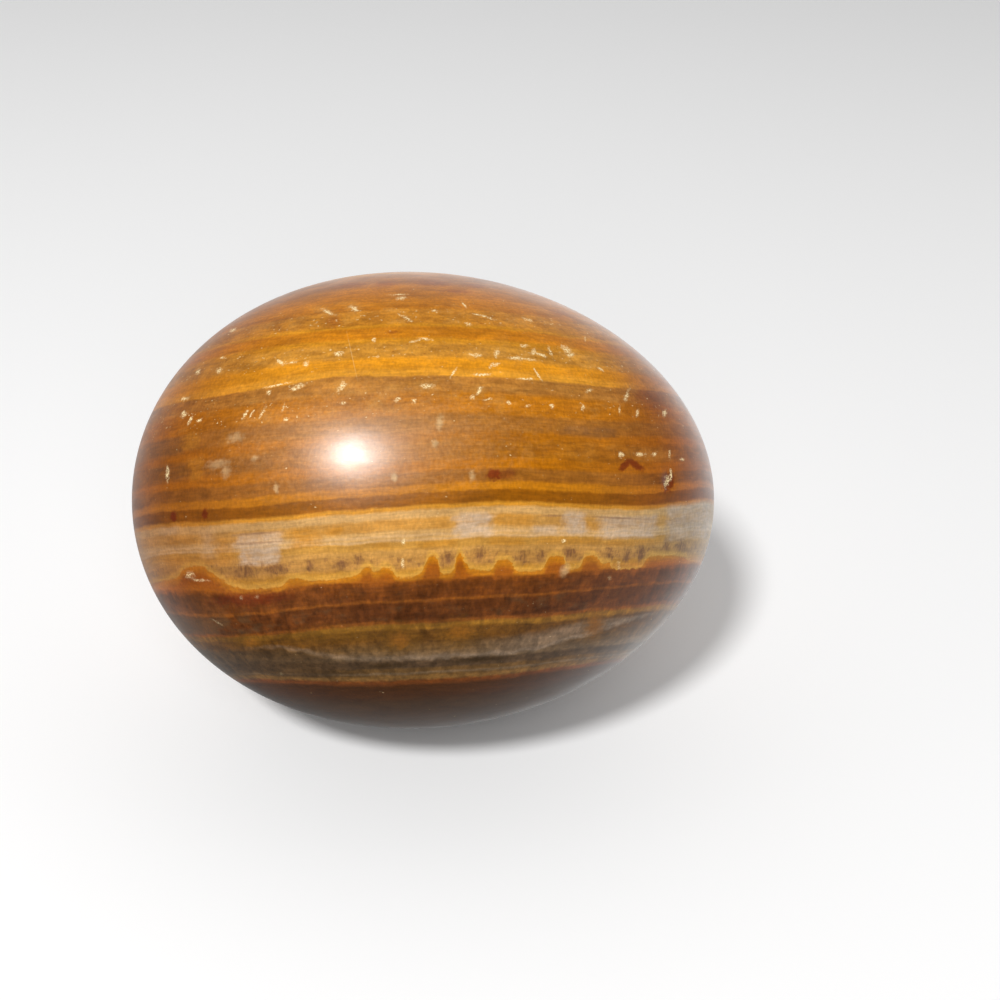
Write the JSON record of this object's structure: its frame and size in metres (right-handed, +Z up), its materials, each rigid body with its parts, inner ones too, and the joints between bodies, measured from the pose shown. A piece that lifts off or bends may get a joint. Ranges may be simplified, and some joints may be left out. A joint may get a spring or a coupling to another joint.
{
  "type": "stone egg",
  "caption": "Polished banded stone egg lying on its side on a small ground flat; an ornament or paperweight to hold or display.",
  "frame": {"origin": "on the plane of the small resting flat, under the middle of the egg's length and width", "axes": "+X along the egg's long axis towards its pointed end, +Y towards the back as pictured, +Z up from the resting flat"},
  "size_m": [0.076, 0.0596, 0.059],
  "materials": {
    "banded_stone": "polished to a soft gloss; wavy parallel layers of gold, brown, dark brown, cream and grey, with small pits"
  },
  "bodies": {
    "root": {"stone_egg": "banded_stone"}
  },
  "joints": []
}
